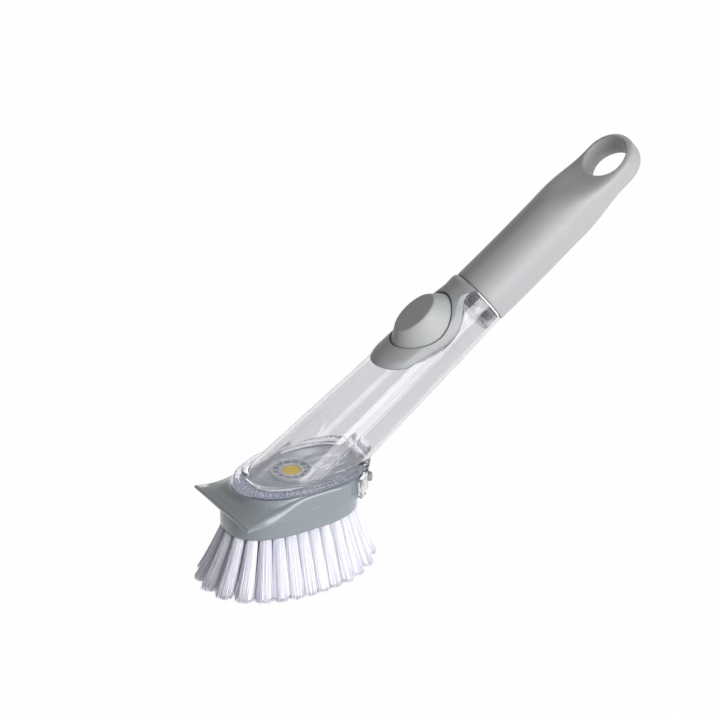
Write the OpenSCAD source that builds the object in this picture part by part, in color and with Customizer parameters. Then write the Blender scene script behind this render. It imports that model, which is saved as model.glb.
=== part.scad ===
// Soap-dispensing dish wand: a clear refillable reservoir with a push-button
// pump, a screw-off grip with a hanging eye, and a clip-on brush head.
// Millimetres. +Z is up, +X runs from the head towards the handle, and the
// origin is the middle of the bounding box's bottom face, at the bristle tips.

/* [Wand] */
// Slope of the wand above the head's top face, degrees
wand_tilt = 34; // [32:0.5:36]
// Distance along the wand from the foot's centre to the grip's lower edge
grip_start = 118; // [114:0.5:121]
// Radius of the reservoir where it meets the grip
mouth_r = 15; // [14.8:0.1:15.2]
// Growth of the reservoir's radius for each millimetre towards the foot
flare = 0.0385; // [0.034:0.0005:0.04]
// Wall of the reservoir
wall = 1.7; // [1.5:0.1:2]

/* [Grip] */
// Radius of the grip
grip_r = 15.2; // [15:0.1:15.4]
// Length of the grip, eye end included
grip_len = 106.1; // [100:0.1:114]
// Wall of the grip
grip_wall = 1.7; // [1.5:0.1:2]
// Thickness of the flattened eye end
eye_end_t = 14; // [13:0.2:16]
// Height of the eye end's middle over the shaft's axis
eye_rise = 1.2; // [0.4:0.1:1.2]
// Radius of the hanging eye
eye_hole_r = 11.6; // [10:0.1:11.8]

/* [Neck] */
// Lead of the grip's screw thread
thread_lead = 4.5; // [4:0.5:5]
// Turns of thread
thread_turns = 0.75; // [0.5:0.25:0.75]

/* [Button] */
// Distance along the wand from the foot's centre to the button's centre
button_s = 88.4; // [86:0.2:91]
// Half length of the button's base
button_a = 17.9; // [16:0.1:18]
// Half width of the button's base
button_b = 13.2; // [12:0.2:13.4]
// Height of the button's top above the wand's axis
button_top = 22.4; // [21:0.2:24]
// Travel of the button
button_travel = 3; // [2:0.5:3]

/* [Foot] */
// Half length of the oval flange
flange_a = 35.4; // [34:0.1:36]
// Half width of the oval flange
flange_b = 21.5; // [20:0.1:22]
// Thickness of the flange
flange_t = 2.5; // [2:0.1:3]
// Height of the step on the flange
step_t = 3; // [2:0.1:4]

/* [Head] */
// Height of the head's top face above the bristle tips
head_top = 50; // [48:0.5:52]
// Height of the joint between the head's shell and its block
seam_z = 38; // [37:0.5:39]
// Height of the block's underside
block_z = 28.5; // [28:0.5:31]
// Half width of the scraper's edge
scraper_w = 25.4; // [24:0.2:26]
// Reach of the scraper's edge in front of the valve
scraper_x = 39.7; // [39:0.1:41]

/* [Bristles] */
// Tufts in the outer, middle and inner oval
tuft_counts = [26, 12, 6];
// Strands round each tuft's middle strand
strands_round = 7; // [7:1:8]
// Radius of a strand
strand_r = 0.42; // [0.36:0.02:0.44]

/* [Hidden] */
$fn = 64;
slip = 0.02;
far = 200;

// Places on the wand, measured along its axis from the foot's centre
foot_x = 8.8;
foot_z = head_top + 2;
mouth_s = grip_start - 1;
grip_end = grip_start + grip_len;
eye_r = grip_r - 0.2;
eye_s = grip_end - eye_r;
flat_s = grip_start + 65;
plate_s = flat_s + 16;

// Neck and screw thread
neck_s = mouth_s - 8;
neck_r = 12.1;
seal_land_r = 12.4;
plug_r = 11;
plug_s = neck_s + 0.6;
thread_s = neck_s + 1.4;
ring_s = mouth_s - 1.4;

// Pump under the button
hole_gap = 0.4;
tray_a = button_a + 2;
tray_b = button_b + 1;
tray_wall = 0.8;
tray_floor = 5.6;
tray_z = 4.6;
button_wall = 1.5;
bezel_t = 1.3;

// Foot and head
oval_x = 6;
oval_power = 2.4;
step_a = flange_a - 4.4;
step_b = flange_b - 2.3;
plate_t = 1.8;
well_a = step_a - 1.4;
well_b = step_b - 2.2;
rim_t = 1;
crown_x = 2.1;
head_x = -1.5;
block_a = 36;
block_b = 21.2;
block_power = 2.6;
slice_a = block_a - 1;
slice_b = block_b - 1.4;
plug_z = seam_z + 4.8;
cavity_x = 5.4;
cavity_a = 27.4;
cavity_b = 18.6;
cavity_power = 3.2;
cavity_z = head_top - 2.4;
outline_n = 12;
corner_turn = 31;
snap_x = 28.2;
snap_y = 11.3;
snap_z = head_top - 3.8;
snap_r = 2.4;
collar_r = 2.9;
snap_out = 8.2;
skirt_x = 25.5;
skirt_z = seam_z + 2;
skirt_gap = 1;
skirt_t = 2.6;

// Bristle layout: half axes of the three ovals of tufts, and how far tips splay
tuft_ovals = [[31.5, 17], [21.5, 10.5], [11, 4]];
splay_x = 1.12;
splay_end = 0.26;
splay_y = 1.66;
tip_shift = -3;
tuft_r = 1.25;
tuft_tip_r = 3.3;
trim = 0.5;

// Middle of the bounding box along X, before the model is moved onto its origin
eye_round = 6.4;
x_max = foot_x + (eye_s + eye_r - eye_round) * cos(wand_tilt)
    + (eye_end_t / 2 - eye_round - eye_rise) * sin(wand_tilt) + eye_round;
front_root = head_x - tuft_ovals[0][0] - tuft_r;
front_tip = head_x + tip_shift - tip_reach(tuft_ovals[0][0]) - tuft_tip_r;
x_min = front_root + 0.9807 * (front_tip - front_root) - strand_r / 2;
mid_x = (x_min + x_max) / 2;

function tip_reach(x) = x * (splay_x + splay_end * pow(x / tuft_ovals[0][0], 2));

// Outer radius of the reservoir at a place along the wand
function tube_r(s) = mouth_r + (grip_start - s) * flare;

// Points of an oval with squared-off ends: half axes a and b, power p
function oval(a, b, p, n = 48) = [for (i = [0:n - 1]) oval_point(a, b, p, 360 * i / n)];
function oval_point(a, b, p, t) =
    [a * sign(cos(t)) * pow(abs(cos(t)), 2 / p), b * sign(sin(t)) * pow(abs(sin(t)), 2 / p)];

// Point of such an oval in the direction of an angle
function oval_at(a, b, p, t) =
    let (k = pow(pow(abs(cos(t)) / a, p) + pow(abs(sin(t)) / b, p), -1 / p))
    [k * cos(t), k * sin(t)];

// Half width of the head's outline beside its straight flanks and flaring corners
flank_x = 12;
flank_w = 22.9;
waist_x = -14;
rear_x = 34.8;
function flank(x) = x > waist_x ? flank_w
    : flank_w + (scraper_w - flank_w) * pow((waist_x - x) / (waist_x + scraper_x), 2);

// Outline of the head from its near corner round the rear to its far corner
function head_outline() = concat(
    [for (i = [0:outline_n - 1]) let (x = -scraper_x + (flank_x + scraper_x) * i / outline_n) [x, -flank(x)]],
    [for (i = [0:2 * outline_n]) let (t = -90 + 90 * i / outline_n)
        [flank_x, 0] + oval_point(rear_x - flank_x, flank_w, 2.3, t)],
    [for (i = [outline_n - 1:-1:0]) let (x = -scraper_x + (flank_x + scraper_x) * i / outline_n) [x, flank(x)]],
    [for (i = [1:5]) [-scraper_x, scraper_w * (1 - i / 3)]]);

// Heights of the shell's lower and upper edge at a place along the head
function ease(t) = let (u = max(0, min(1, t))) u * u * (3 - 2 * u);
function lower_edge(x) = seam_z + 3.5 * pow(max(0, (18 - x) / (18 + scraper_x)), 1.5);
function upper_edge(x) = lower_edge(x) + 1.6
    + (head_top - 2.2 - lower_edge(x)) * ease((x + 33) / 34);

// Closed solid through rings of equal point counts, flat ends capped
module skin(rings) {
    k = len(rings[0]);
    m = len(rings);
    sides = [for (i = [0:m - 2], j = [0:k - 1]) let (a = i * k + j, b = i * k + (j + 1) % k)
        each [[a, a + k, b], [b, a + k, b + k]]];
    bottom = [for (j = [0:k - 1]) j];
    top = [for (j = [k - 1:-1:0]) (m - 1) * k + j];
    polyhedron([for (ring = rings) each ring], concat([bottom], sides, [top]));
}

// A ring of plan points raised to one height
function raise(plan, z) = [for (p = plan) [p[0], p[1], z]];

// Moves the finished model onto its origin
module placed() translate([-mid_x, 0, 0]) children();

// The wand's own frame: X along the wand, Z out through the button
module wand() placed() translate([foot_x, 0, foot_z]) rotate([0, -wand_tilt, 0]) children();

// Round solid along the wand between two places
module along(s0, s1, r0, r1) translate([s0, 0, 0]) rotate([0, 90, 0]) cylinder(h = s1 - s0, r1 = r0, r2 = r1);

// The reservoir's cone, grown or shrunk by a thickness
module cone(grow, s0 = -50, s1 = 150) along(s0, s1, tube_r(s0) + grow, tube_r(s1) + grow);

// Upright oval prism in the head's frame, centred over the foot
module oval_prism(a, b, z0, z1) placed() translate([oval_x, 0, z0])
    linear_extrude(z1 - z0) polygon(oval(a, b, oval_power));

// Oval prism along the button's travel
module button_prism(a, b, z0, z1) translate([button_s, 0, z0])
    linear_extrude(z1 - z0) polygon(oval(a, b, 2));

// Point at a radius and angle round the wand
function round_wand(r, s, t) = [s, r * cos(t), r * sin(t)];

// Helical ridge along the wand: root radius, crest radius and its two widths
module helix(root, crest, wide, narrow, phase) {
    steps = 24;
    rings = [for (i = [0:steps * thread_turns]) let (t = phase + 360 * i / steps,
        s = thread_s + thread_lead * i / steps)
        [round_wand(root, s - wide / 2, t), round_wand(crest, s - narrow / 2, t),
         round_wand(crest, s + narrow / 2, t), round_wand(root, s + wide / 2, t)]];
    skin(crest > root ? [for (ring = rings) [ring[3], ring[2], ring[1], ring[0]]] : rings);
}

module handle_grip() color("#9a9c9c") wand() difference() {
    union() {
        along(grip_start, flat_s, grip_r, grip_r);
        hull() {
            along(flat_s - 0.2, flat_s, grip_r, grip_r, $fn = 48);
            eye_section();
        }
        hull() {
            eye_section();
            translate([eye_s, 0, eye_rise]) eye_disc();
        }
    }
    along(grip_start - 1, flat_s - 4, grip_r - grip_wall, grip_r - grip_wall);
    translate([eye_s, 0, eye_rise - far / 2]) cylinder(h = far, r = eye_hole_r);
}

// Rounded section where the taper from the shaft meets the flat eye end
module eye_section() translate([plate_s, 0, eye_rise]) rotate([90, 0, 90]) linear_extrude(0.2)
    offset(eye_round, $fn = 24) square([2 * (eye_r - eye_round), eye_end_t - 2 * eye_round], center = true);

// Flat round end of the grip with a rounded rim
module eye_disc() rotate_extrude($fn = 48) intersection() {
    translate([-far, -eye_end_t / 2]) square([far + eye_r, eye_end_t]);
    offset(eye_round, $fn = 24) square([2 * (eye_r - eye_round), eye_end_t - 2 * eye_round], center = true);
    translate([0, -far]) square([far, 2 * far]);
}

module neck_plug() color("#8b8d8e") wand() difference() {
    union() {
        along(plug_s, grip_start + 0.5, plug_r, plug_r);
        along(grip_start + 0.2, grip_start + 12, grip_r - grip_wall - 0.03, grip_r - grip_wall - 0.03);
        helix(plug_r - 0.3, plug_r + 0.75, 1.6, 0.8, 0);
    }
    along(plug_s + 1.4, grip_start + 13, plug_r - 1.8, plug_r - 1.8);
    translate([ring_s, 0, 0]) rotate([0, 90, 0]) rotate_extrude() translate([plug_r + 0.35, 0]) circle(0.85, $fn = 32);
}

module neck_o_ring() color("#3a3a3c") wand() translate([ring_s, 0, 0]) rotate([0, 90, 0])
    rotate_extrude() translate([plug_r + 0.35, 0]) circle(0.8, $fn = 32);

module neck_gasket() color("#d8dadc") wand() difference() {
    along(mouth_s + 0.1, grip_start - 0.1, 14.1, 14.1);
    along(mouth_s - 1, grip_start + 1, plug_r + 0.9, plug_r + 0.9);
}

module filler_neck() color("#d9dce6", 0.5) wand() {
    difference() {
        cone(-wall - 0.03, neck_s, mouth_s);
        along(neck_s - 1, mouth_s + 1, neck_r, neck_r);
        along(mouth_s - 2.4, mouth_s + 1, seal_land_r, seal_land_r);
    }
    helix(neck_r + 0.3, neck_r - 0.65, 1.6, 0.8, 180);
}

module reservoir_tube() color("#dfe2ee", 0.4) difference() {
    union() {
        intersection() {
            union() {
                wand() cone(0, -50, mouth_s);
                oval_prism(step_a, step_b, head_top, head_top + flange_t + step_t);
            }
            placed() translate([-far, -far, head_top]) cube(2 * far);
        }
        oval_prism(flange_a, flange_b, head_top, head_top + flange_t);
        rear_skirt();
    }
    intersection() {
        wand() cone(-wall, -50, mouth_s + 1);
        union() {
            placed() translate([-far, -far, head_top + flange_t + step_t]) cube(2 * far);
            oval_prism(well_a, well_b, head_top + plate_t, head_top + flange_t + step_t + 1);
        }
    }
    oval_prism(well_a - rim_t, well_b - rim_t, head_top - 1, head_top + plate_t + 0.1);
    wand() button_prism(tray_a + 0.1, tray_b + 0.1, tray_z - 0.2, 40);
    for (side = [-1, 1]) snap_slot(side);
}

// Clear skirt that hangs from the flange behind the head
module rear_skirt() placed() translate([0, 0, skirt_z]) linear_extrude(head_top + flange_t - skirt_z)
    intersection() {
        difference() {
            offset(skirt_gap + skirt_t, $fn = 48) polygon(head_outline());
            offset(skirt_gap, $fn = 48) polygon(head_outline());
        }
        translate([skirt_x, -far]) square([far, 2 * far]);
    }

// Frame of a snap button: X points out of the head's rear corner
module snap_frame(side) placed() translate([snap_x, side * snap_y, snap_z])
    rotate([0, 0, side * corner_turn]) children();

module snap_slot(side) snap_frame(side) translate([0, -snap_r - 0.3, -far])
    cube([20, 2 * snap_r + 0.6, far + snap_r + 0.3]);

module base_plate() color("#d4d8e2", 0.6) placed() difference() {
    translate([oval_x, 0, head_top + 0.02]) linear_extrude(plate_t - 0.04)
        polygon(oval(well_a - rim_t - 0.1, well_b - rim_t - 0.1, oval_power));
    translate([0, 0, head_top - 1]) cylinder(h = 9, r = 4);
    translate([0, 0, head_top + 1]) cylinder(h = 9, r = 6);
}

module valve_cage() color("#b9bcc4", 0.8) placed() translate([0, 0, head_top + plate_t + 0.02]) {
    difference() {
        cylinder(h = 1.6, r = 10.5);
        translate([0, 0, -1]) cylinder(h = 4, r = 9.3);
    }
    for (turn = [0:60:300]) rotate([0, 0, turn]) translate([6.4, -0.5, 0]) cube([3.4, 1, 0.9]);
}

module slit_valve() color("#d6b93e") placed() translate([0, 0, head_top]) difference() {
    union() {
        translate([0, 0, 1.05]) cylinder(h = 0.7, r = 5.85);
        translate([0, 0, 1.7]) cylinder(h = 0.5, r = 4.6);
        translate([0, 0, 0.15]) cylinder(h = 1, r1 = 2.6, r2 = 3.8);
    }
    translate([-1.6, -0.1, -1]) cube([3.2, 0.2, 4]);
}

module valve_ring() color("#c9ccd2") placed() translate([0, 0, head_top + plate_t + 0.02]) difference() {
    cylinder(h = 0.9, r = 6.3);
    translate([0, 0, -1]) cylinder(h = 4, r = 4.75);
}

module button_bezel() color("#868988") wand() difference() {
    intersection() {
        difference() {
            cone(bezel_t, 40, grip_start - 0.3);
            cone(slip, 39, grip_start + 1);
        }
        linear_extrude(40) bezel_outline();
    }
    button_prism(button_a + hole_gap, button_b + hole_gap, 0, 40);
}

// Teardrop of the bezel: round lower end, wide middle, neck up to the grip
module bezel_outline() offset(r = -7) offset(r = 7) {
    hull() {
        translate([button_s - 18, 0]) circle(13.2);
        translate([button_s + 1.6, 0]) circle(14.8);
        translate([button_s + 8.8, 0]) circle(14.2);
    }
    polygon([[button_s, -7.4], [button_s, 7.4], [grip_start - 3, 7.4], [grip_start, 9.4],
        [grip_start, -9.4], [grip_start - 3, -7.4]]);
}

// Ring of button points laid on the reservoir's cone, grown by a gap
function on_tube(plan, gap) = [for (p = plan)
    [p[0], p[1], sqrt(pow(tube_r(button_s + p[0]) + gap, 2) - p[1] * p[1])]];

// Button: a hollow tapered oval whose lower edge follows the reservoir
module button_cap() color("#9b9e9d") wand() translate([button_s, 0, 0]) {
    w = button_wall;
    skin([raise(oval(11, 6.2, 2), button_top - w),
        on_tube(oval(button_a - w, button_b - w, 2), 0.25),
        on_tube(oval(button_a, button_b, 2), 0.25),
        raise(oval(13.1, 8.1, 2), button_top - 0.8),
        raise(oval(12.6, 7.6, 2), button_top - 0.2),
        raise(oval(11.9, 6.9, 2), button_top)]);
    translate([0, 0, button_top - w - 1]) cylinder(h = 1.2, r = 4.6);
}

module pump_tray() color("#7f8281") wand() intersection() {
    difference() {
        button_prism(tray_a, tray_b, tray_z, 40);
        button_prism(tray_a - tray_wall, tray_b - tray_wall, tray_floor, 41);
        translate([button_s, 0, 0]) cylinder(h = 40, r = 1.5);
    }
    cone(-slip, 40, mouth_s);
}

// Rubber bellows between the tray's floor and the button
module pump_bellows() color("#cfd2d4") wand() translate([button_s, 0, tray_floor + 0.05]) rotate_extrude() {
    folds = 4;
    rise = (button_top - button_wall - 1.1 - tray_floor - 0.9) / (2 * folds);
    outer = [for (i = [0:2 * folds]) [(i % 2 == 0 ? 6.8 : 5.6) - 0.17 * i, 0.8 + rise * i]];
    inner = [for (i = [2 * folds:-1:0]) outer[i] - [0.8, 0]];
    polygon(concat(outer, inner));
    translate([5.4, 0]) square([3.2, 0.85]);
    translate([0, 0.8 + rise * 2 * folds - 0.7]) square([outer[2 * folds][0], 0.7]);
}

module bellows_ring() color("#8b8d8e") wand() translate([button_s, 0, tray_floor + 0.95]) difference() {
    cylinder(h = 1.2, r = 9);
    translate([0, 0, -1]) cylinder(h = 4, r = 7.4);
}

// Return spring inside the bellows
module button_spring() color("#b8babc") wand() translate([button_s, 0, tray_floor + 0.1]) {
    coils = 6;
    steps = 12;
    wire = 0.4;
    mean_r = 3.2;
    height = 12.4;
    skin([for (i = [0:coils * steps]) let (t = 360 * i / steps, z = wire + height * i / (coils * steps))
        [for (q = [0:60:300]) [(mean_r + wire * cos(q)) * cos(t), (mean_r + wire * cos(q)) * sin(t),
            z + wire * sin(q)]]]);
}

module air_valve() color("#e3e4e6") wand() translate([button_s, 0, 0]) {
    translate([0, 0, tray_z - 0.9]) cylinder(h = 0.88, r = 3.2);
    translate([0, 0, tray_z - 0.1]) cylinder(h = 1.2, r = 1.3);
    translate([0, 0, tray_floor + 0.02]) cylinder(h = 0.7, r = 1.9);
}

// Shell of the head: dished in front down to the scraper's straight edge
module head_shell() color("#8c959b") difference() {
    placed() skin(shell_rings());
    cavity_prism(0, seam_z - 1, cavity_z);
    placed() translate([0, 0, seam_z]) cylinder(h = 20, r = 4.4);
    placed() translate([0, 0, head_top - 0.9]) cylinder(h = 4, r = 7.1);
    for (side = [-1, 1]) snap_frame(side) rotate([0, 90, 0]) {
        cylinder(h = 20, r = snap_r + 0.06);
        translate([0, 0, -6]) cylinder(h = 8.2, r = collar_r + 0.2);
    }
}

// Prism of the hollow under the shell, shrunk by a gap
module cavity_prism(gap, z0, z1) placed() translate([cavity_x, 0, z0])
    linear_extrude(z1 - z0) polygon(oval(cavity_a - gap, cavity_b - gap, cavity_power));

function shell_rings() =
    let (plan = head_outline(),
        under = [for (p = plan) let (t = atan2(p[1], p[0] - head_x))
            [head_x, 0] + oval_at(block_a + 0.2, block_b + 0.2, block_power, t)],
        crown = [for (p = plan) let (t = atan2(p[1], p[0] - crown_x))
            [crown_x, 0] + oval_at(rear_x - crown_x, flange_b - 0.2, oval_power, t)],
        edge = [for (p = plan) upper_edge(p[0])],
        cove = [[0.3, 0.05], [0.55, 0.2], [0.76, 0.44], [0.92, 0.76]])
    concat([raise(under, seam_z),
        [for (p = plan) [p[0], p[1], lower_edge(p[0])]],
        [for (i = [0:len(plan) - 1]) [plan[i][0], plan[i][1], edge[i]]]],
        [for (c = cove) [for (i = [0:len(plan) - 1]) let (q = plan[i] + c[0] * (crown[i] - plan[i]))
            [q[0], q[1], edge[i] + c[1] * (head_top - 0.1 - edge[i])]]],
        [raise(crown, head_top - 0.1)]);

module bristle_block() color("#868f96") difference() {
    union() {
        placed() translate([head_x, 0, block_z + 0.02]) linear_extrude(seam_z - block_z - 0.04)
            polygon(oval(block_a, block_b, block_power));
        cavity_prism(0.2, seam_z - 1, plug_z);
    }
    placed() translate([0, 0, block_z - 1]) cylinder(h = 20, r = 3);
    for (p = tufts()) placed() translate([head_x + p[0], p[1], block_z - 1]) cylinder(h = 7.5, r = 1.7);
}

// Running length of a closed outline up to each of its points
function run(plan, i = 0, sum = 0, out = [0]) = i == len(plan) ? out
    : let (next = sum + norm(plan[(i + 1) % len(plan)] - plan[i])) run(plan, i + 1, next, concat(out, [next]));

// Points at equal steps round a closed outline
function stepped(plan, count) = let (lengths = run(plan), total = lengths[len(plan)])
    [for (k = [0:count - 1]) let (want = total * k / count,
        i = max([for (j = [0:len(plan) - 1]) lengths[j] <= want + 0.001 ? j : 0]),
        f = (want - lengths[i]) / (lengths[i + 1] - lengths[i]))
        plan[i] + f * (plan[(i + 1) % len(plan)] - plan[i])];

// Middles of the tufts, at equal steps round three ovals
function tufts() = [for (k = [0:2])
    each stepped(oval(tuft_ovals[k][0], tuft_ovals[k][1], oval_power, 96), tuft_counts[k])];

// Strands of nylon splayed from their tufts, trimmed level at the tips
module bristles() color("#f4f4f8") placed() difference() {
    union() {
        translate([head_x, 0, block_z - 0.9]) linear_extrude(0.9)
            polygon(oval(slice_a, slice_b, block_power, 32));
        for (p = tufts()) {
            tuft_root(p);
            tuft(p);
        }
    }
    translate([0, 0, block_z - 2]) cylinder(h = 20, r = 3, $fn = 16);
    translate([-far, -far, -2 * far]) cube(2 * far);
}

module tuft_root(p) hull() for (end = [-1, 1])
    translate([head_x + p[0] + 0.4 * end, p[1], block_z + 1.3]) cube([1.2, 1.6, 3.2], center = true);

function tuft_tip(p) = [head_x + tip_shift + sign(p[0]) * tip_reach(abs(p[0])), p[1] * splay_y];

module tuft(p) {
    base = [head_x + p[0], p[1]];
    tip = tuft_tip(p);
    spots = concat([[0, 0]], [for (j = [0:strands_round - 1]) let (t = 180 + 360 * j / strands_round) [cos(t), sin(t)]]);
    for (spot = spots) strand(base + tuft_r * spot, tip + tuft_tip_r * spot);
}

module strand(base, tip) {
    z0 = block_z - 0.5;
    skin([for (f = [0, 0.5, 1]) let (g = f * (0.8 + 0.2 * f), q = base + g * (tip - base),
        z = z0 - f * (z0 + trim))
        [for (t = [0, -120, -240]) [q[0] + strand_r * cos(t), q[1] + strand_r * sin(t), z]]]);
}

module tuft_staples() color("#c8cacc") placed() for (p = tufts())
    translate([head_x + p[0], p[1], block_z + 4.2]) cube([2.4, 0.5, 1.8], center = true);

module port_seal() color("#d8dadc") placed() translate([0, 0, head_top - 0.85]) difference() {
    cylinder(h = 0.75, r = 7);
    translate([0, 0, -1]) cylinder(h = 4, r = 4.6);
}

// Release button that pokes out of the head's rear corner through the skirt
module snap_button(side) color("#b7b9ba") snap_frame(side) rotate([0, 90, 0]) rotate_extrude() {
    translate([0, 1]) square([collar_r, 0.9]);
    translate([0, 1]) square([snap_r, snap_out - 1]);
    intersection() {
        translate([0, snap_out - 3]) circle(4.2);
        translate([0, snap_out - 1]) square([snap_r, 5]);
    }
}

module snap_button_left() snap_button(1);
module snap_button_right() snap_button(-1);

// Bent leaf spring behind a snap button
module snap_spring(side) color("#b8babc") snap_frame(side) translate([-4.4, 0, 0]) difference() {
    translate([0, -2.2, -1.3]) cube([5.3, 4.4, 2.6]);
    translate([0.4, -3, -3]) cube([4.5, 4.8, 6]);
}

module snap_spring_left() snap_spring(1);
module snap_spring_right() snap_spring(-1);

handle_grip();
neck_plug();
neck_o_ring();
neck_gasket();
filler_neck();
reservoir_tube();
base_plate();
valve_cage();
slit_valve();
valve_ring();
button_bezel();
button_cap();
pump_tray();
pump_bellows();
bellows_ring();
button_spring();
air_valve();
head_shell();
bristle_block();
bristles();
tuft_staples();
port_seal();
snap_button_left();
snap_button_right();
snap_spring_left();
snap_spring_right();
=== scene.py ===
import math

import bmesh
import bpy
import numpy as np
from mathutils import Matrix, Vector


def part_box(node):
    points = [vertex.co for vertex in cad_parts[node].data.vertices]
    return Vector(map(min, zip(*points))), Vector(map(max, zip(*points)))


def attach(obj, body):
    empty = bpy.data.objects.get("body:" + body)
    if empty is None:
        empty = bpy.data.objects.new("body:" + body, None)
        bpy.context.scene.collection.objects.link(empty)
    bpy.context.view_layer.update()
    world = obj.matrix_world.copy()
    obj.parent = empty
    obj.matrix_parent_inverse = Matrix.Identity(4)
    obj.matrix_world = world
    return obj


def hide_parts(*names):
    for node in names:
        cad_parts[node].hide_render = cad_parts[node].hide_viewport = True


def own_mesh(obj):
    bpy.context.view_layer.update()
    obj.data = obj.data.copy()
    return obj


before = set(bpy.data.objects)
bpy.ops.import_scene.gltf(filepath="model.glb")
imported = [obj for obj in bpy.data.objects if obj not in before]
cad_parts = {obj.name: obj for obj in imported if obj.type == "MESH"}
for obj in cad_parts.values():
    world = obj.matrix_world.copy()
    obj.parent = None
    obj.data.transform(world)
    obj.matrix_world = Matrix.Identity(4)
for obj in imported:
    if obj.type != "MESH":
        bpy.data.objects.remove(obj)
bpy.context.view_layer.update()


# The wand's two frames, in millimetres. The tilted one runs along the grip and the reservoir,
# and the level one stands over the valve in the foot, which the brush head hangs from.

TILT = math.radians(34)
VALVE_X = 500 * (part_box("valve_ring")[0][0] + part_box("valve_ring")[1][0])
FOOT_X = VALVE_X + 8.8
FOOT_Z = 52
HEAD_TOP = 50
LONG = np.array([math.cos(TILT), 0, math.sin(TILT)])
OUT = np.array([-math.sin(TILT), 0, math.cos(TILT)])
MM = 0.001


def on_wand(s, y, h):
    """Points at s along the wand, y to its left and h out through the button."""
    s, y, h = np.broadcast_arrays(*(np.asarray(v, float) for v in (s, y, h)))
    return np.array([FOOT_X, 0, FOOT_Z]) + s[..., None] * LONG + y[..., None] * [0, 1, 0] + h[..., None] * OUT


def on_head(x, y, z):
    """Points at x in front of (-) or behind (+) the valve, y to the left and z above the bristle tips."""
    x, y, z = np.broadcast_arrays(*(np.asarray(v, float) for v in (x, y, z)))
    return np.stack([x + VALVE_X, y, z], -1)


# The grip: one hollow moulding of satin grey plastic. Its round shaft flattens into an eye end
# with a rolled rim, and its lower edge turns in to the wall that the neck plug is glued to.

GRIP_S = 118
GRIP_R = 15.2
BLEND_S = 169
EYE_S = 209.1
EYE_R = 15
HOLE_R = 11.6
EYE_HALF = 6.7
EYE_RISE = 2.3
LIP = 0.95
UNDER_R = 12
UNDER_SHIFT = 1.8


def ease(t):
    """Smooth step: 0 below 0, 1 above 1, and 3 t squared less 2 t cubed between."""
    t = np.clip(t, 0, 1)
    return t * t * (3 - 2 * t)


def join_grids(*grids):
    """Stacks grids (points, faces), each with its faces counted from its own first point."""
    points, faces, count = [], [], 0
    for p, f in grids:
        points.append(p)
        faces.append(f + count)
        count += len(p)
    return np.concatenate(points), np.concatenate(faces)


def grid(points, wrap=True, loop=False):
    """Quads over points (m, k, 3): each joins neighbours on both axes, round k if wrap, round m if loop."""
    m, k = points.shape[:2]
    i, j = np.meshgrid(np.arange(m if loop else m - 1), np.arange(k if wrap else k - 1), indexing="ij")
    ni, nj = (i + 1) % m, (j + 1) % k
    faces = np.stack([i * k + j, i * k + nj, ni * k + nj, ni * k + j], -1).reshape(-1, 4)
    return points.reshape(-1, 3), faces


def piece(name, mesh, material, body, nodes=(), caps=(), sharp=38):
    """One object from points and quads in millimetres. Caps are loops of point numbers closed by one
    face each. Doubled points are merged and all faces turned outwards."""
    points, faces = mesh
    me = bpy.data.meshes.new(name)
    me.from_pydata((points * MM).tolist(), [], faces.tolist() + [list(map(int, c)) for c in caps])
    bm = bmesh.new()
    bm.from_mesh(me)
    bmesh.ops.remove_doubles(bm, verts=bm.verts, dist=2e-7)
    bmesh.ops.dissolve_degenerate(bm, edges=bm.edges, dist=2e-7)
    bmesh.ops.recalc_face_normals(bm, faces=bm.faces)
    bm.to_mesh(me)
    bm.free()
    me.shade_smooth()
    me.set_sharp_from_angle(angle=math.radians(sharp))
    obj = bpy.data.objects.new(name, me)
    bpy.context.scene.collection.objects.link(obj)
    me.materials.append(material)
    if body:
        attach(obj, body)
    if nodes:
        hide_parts(*nodes)
    return obj


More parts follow.
